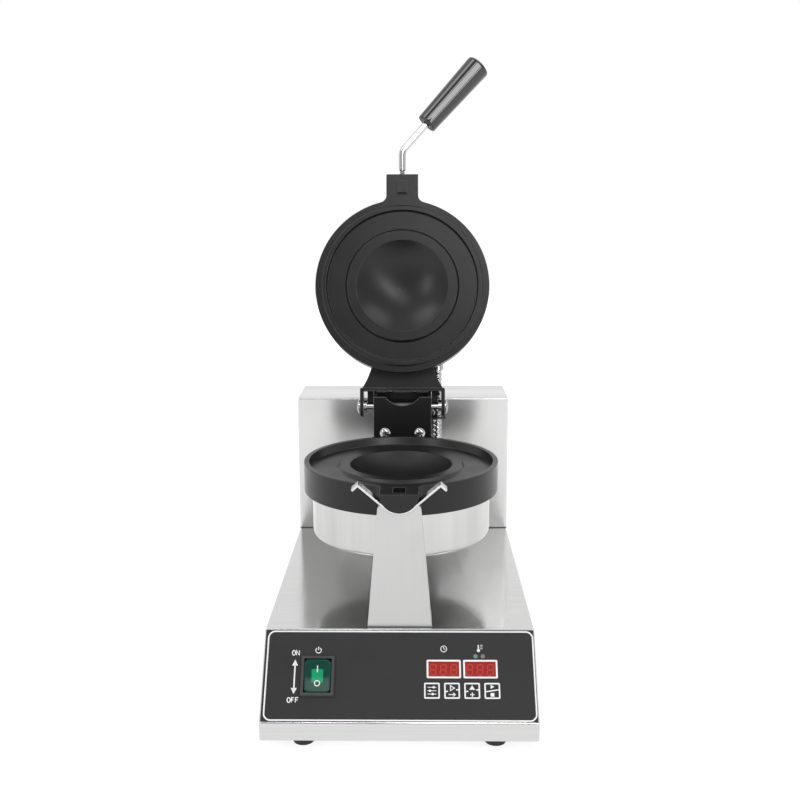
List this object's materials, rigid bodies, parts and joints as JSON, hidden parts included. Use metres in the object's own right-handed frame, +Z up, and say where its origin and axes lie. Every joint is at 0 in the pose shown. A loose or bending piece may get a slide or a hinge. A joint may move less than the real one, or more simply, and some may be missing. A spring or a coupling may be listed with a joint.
{
  "type": "ufo burger maker",
  "caption": "Countertop press with two round hinged heated plates that close over a bowl and turn together in a cradle on a sloped-front steel case.",
  "frame": {"origin": "floor under the middle of the whole machine's footprint, cord gland included", "axes": "+Z up, -Y towards the user at the sloped control panel, +X to the user's right"},
  "size_m": [0.25, 0.4394, 0.6453],
  "materials": {
    "base_shell": "brushed",
    "bottom_plate": "brushed",
    "rubber_feet": "matte",
    "foot_screws": "brushed",
    "rear_housing": "brushed",
    "back_cover": "brushed",
    "cover_screws": "brushed",
    "cable_gland": "fine matte",
    "gland_nut": "fine matte",
    "front_post": "brushed",
    "post_screws": "polished",
    "cradle": "brushed",
    "control_overlay": "black film",
    "switch_frame": "fine matte",
    "display_windows": "red filter",
    "display_modules": "fine matte",
    "indicator_lamps": "lamp lens",
    "control_board": "circuit board",
    "board_spacers": "turned",
    "tact_switches": "fine matte",
    "terminal_block": "moulded",
    "relay_module": "anodised",
    "transformer": "laminated core",
    "bearing_housing": "painted",
    "bearing_bolts": "brushed",
    "lower_plate": "matte black non-stick coating",
    "lower_heater": "brushed",
    "lower_insulation": "felted ceramic fibre",
    "lower_drum": "brushed",
    "lower_drum_screws": "brushed",
    "lower_probe": "brushed",
    "lower_bracket": "satin black",
    "bracket_screws": "polished",
    "rotary_shaft": "brushed",
    "shaft_collar": "brushed",
    "hinge_sleeve": "polished",
    "lower_hose_fitting": "polished",
    "hose_clip": "satin black",
    "armoured_hose": "brushed",
    "upper_plate": "matte black non-stick coating",
    "upper_heater": "brushed",
    "upper_insulation": "felted ceramic fibre",
    "upper_drum": "brushed",
    "upper_drum_screws": "brushed",
    "upper_probe": "brushed",
    "lid_bracket": "satin black",
    "lid_bracket_screws": "brushed",
    "hinge_rod": "polished",
    "hinge_washers": "polished",
    "upper_hose_fitting": "polished",
    "handle_rod": "polished",
    "handle_grip": "glossy black",
    "power_rocker": "green, lit",
    "set_key": "fine matte",
    "shift_key": "fine matte",
    "add_key": "fine matte",
    "start_key": "fine matte"
  },
  "bodies": {
    "base": {"base_shell": "base_shell", "bottom_plate": "bottom_plate", "rubber_feet": "rubber_feet", "foot_screws": "foot_screws", "rear_housing": "rear_housing", "back_cover": "back_cover", "cover_screws": "cover_screws", "cable_gland": "cable_gland", "gland_nut": "gland_nut", "front_post": "front_post", "post_screws": "post_screws", "cradle": "cradle", "control_overlay": "control_overlay", "switch_frame": "switch_frame", "display_windows": "display_windows", "display_modules": "display_modules", "indicator_lamps": "indicator_lamps", "control_board": "control_board", "board_spacers": "board_spacers", "tact_switches": "tact_switches", "terminal_block": "terminal_block", "relay_module": "relay_module", "transformer": "transformer", "bearing_housing": "bearing_housing", "bearing_bolts": "bearing_bolts"},
    "lower_head": {"lower_plate": "lower_plate", "lower_heater": "lower_heater", "lower_insulation": "lower_insulation", "lower_drum": "lower_drum", "lower_drum_screws": "lower_drum_screws", "lower_probe": "lower_probe", "lower_bracket": "lower_bracket", "bracket_screws": "bracket_screws", "rotary_shaft": "rotary_shaft", "shaft_collar": "shaft_collar", "hinge_sleeve": "hinge_sleeve", "lower_hose_fitting": "lower_hose_fitting", "hose_clip": "hose_clip", "armoured_hose": "armoured_hose"},
    "lid": {"upper_plate": "upper_plate", "upper_heater": "upper_heater", "upper_insulation": "upper_insulation", "upper_drum": "upper_drum", "upper_drum_screws": "upper_drum_screws", "upper_probe": "upper_probe", "lid_bracket": "lid_bracket", "lid_bracket_screws": "lid_bracket_screws", "hinge_rod": "hinge_rod", "hinge_washers": "hinge_washers", "upper_hose_fitting": "upper_hose_fitting", "handle_rod": "handle_rod", "handle_grip": "handle_grip"},
    "rocker": {"power_rocker": "power_rocker"},
    "set_key": {"set_key": "set_key"},
    "shift_key": {"shift_key": "shift_key"},
    "add_key": {"add_key": "add_key"},
    "start_key": {"start_key": "start_key"}
  },
  "joints": [
    {"name": "head_turn", "type": "hinge", "parent": "base", "child": "lower_head", "pos_m": [0, 0.09965, 0.224], "axis": [0, 1, 0], "range_deg": [-20, 20]},
    {"name": "lid_hinge", "type": "hinge", "parent": "lower_head", "child": "lid", "pos_m": [0, 0.09965, 0.2494], "axis": [1, 0, 0], "range_deg": [0, 104.4], "deforming": ["armoured_hose"]},
    {"name": "rocker_tilt", "type": "hinge", "parent": "base", "child": "rocker", "pos_m": [-0.0742, -0.19217, 0.05975], "axis": [1, 0, 0], "range_deg": [-16, 0]},
    {"name": "set_key_press", "type": "slide", "parent": "base", "child": "set_key", "axis": [0, 0.7697, -0.6385], "range_m": [0, 0.0004], "stiffness_N_per_m": 2500, "springref_m": -0.0002},
    {"name": "shift_key_press", "type": "slide", "parent": "base", "child": "shift_key", "axis": [0, 0.7697, -0.6385], "range_m": [0, 0.0004], "stiffness_N_per_m": 2500, "springref_m": -0.0002},
    {"name": "add_key_press", "type": "slide", "parent": "base", "child": "add_key", "axis": [0, 0.7697, -0.6385], "range_m": [0, 0.0004], "stiffness_N_per_m": 2500, "springref_m": -0.0002},
    {"name": "start_key_press", "type": "slide", "parent": "base", "child": "start_key", "axis": [0, 0.7697, -0.6385], "range_m": [0, 0.0004], "stiffness_N_per_m": 2500, "springref_m": -0.0002}
  ]
}
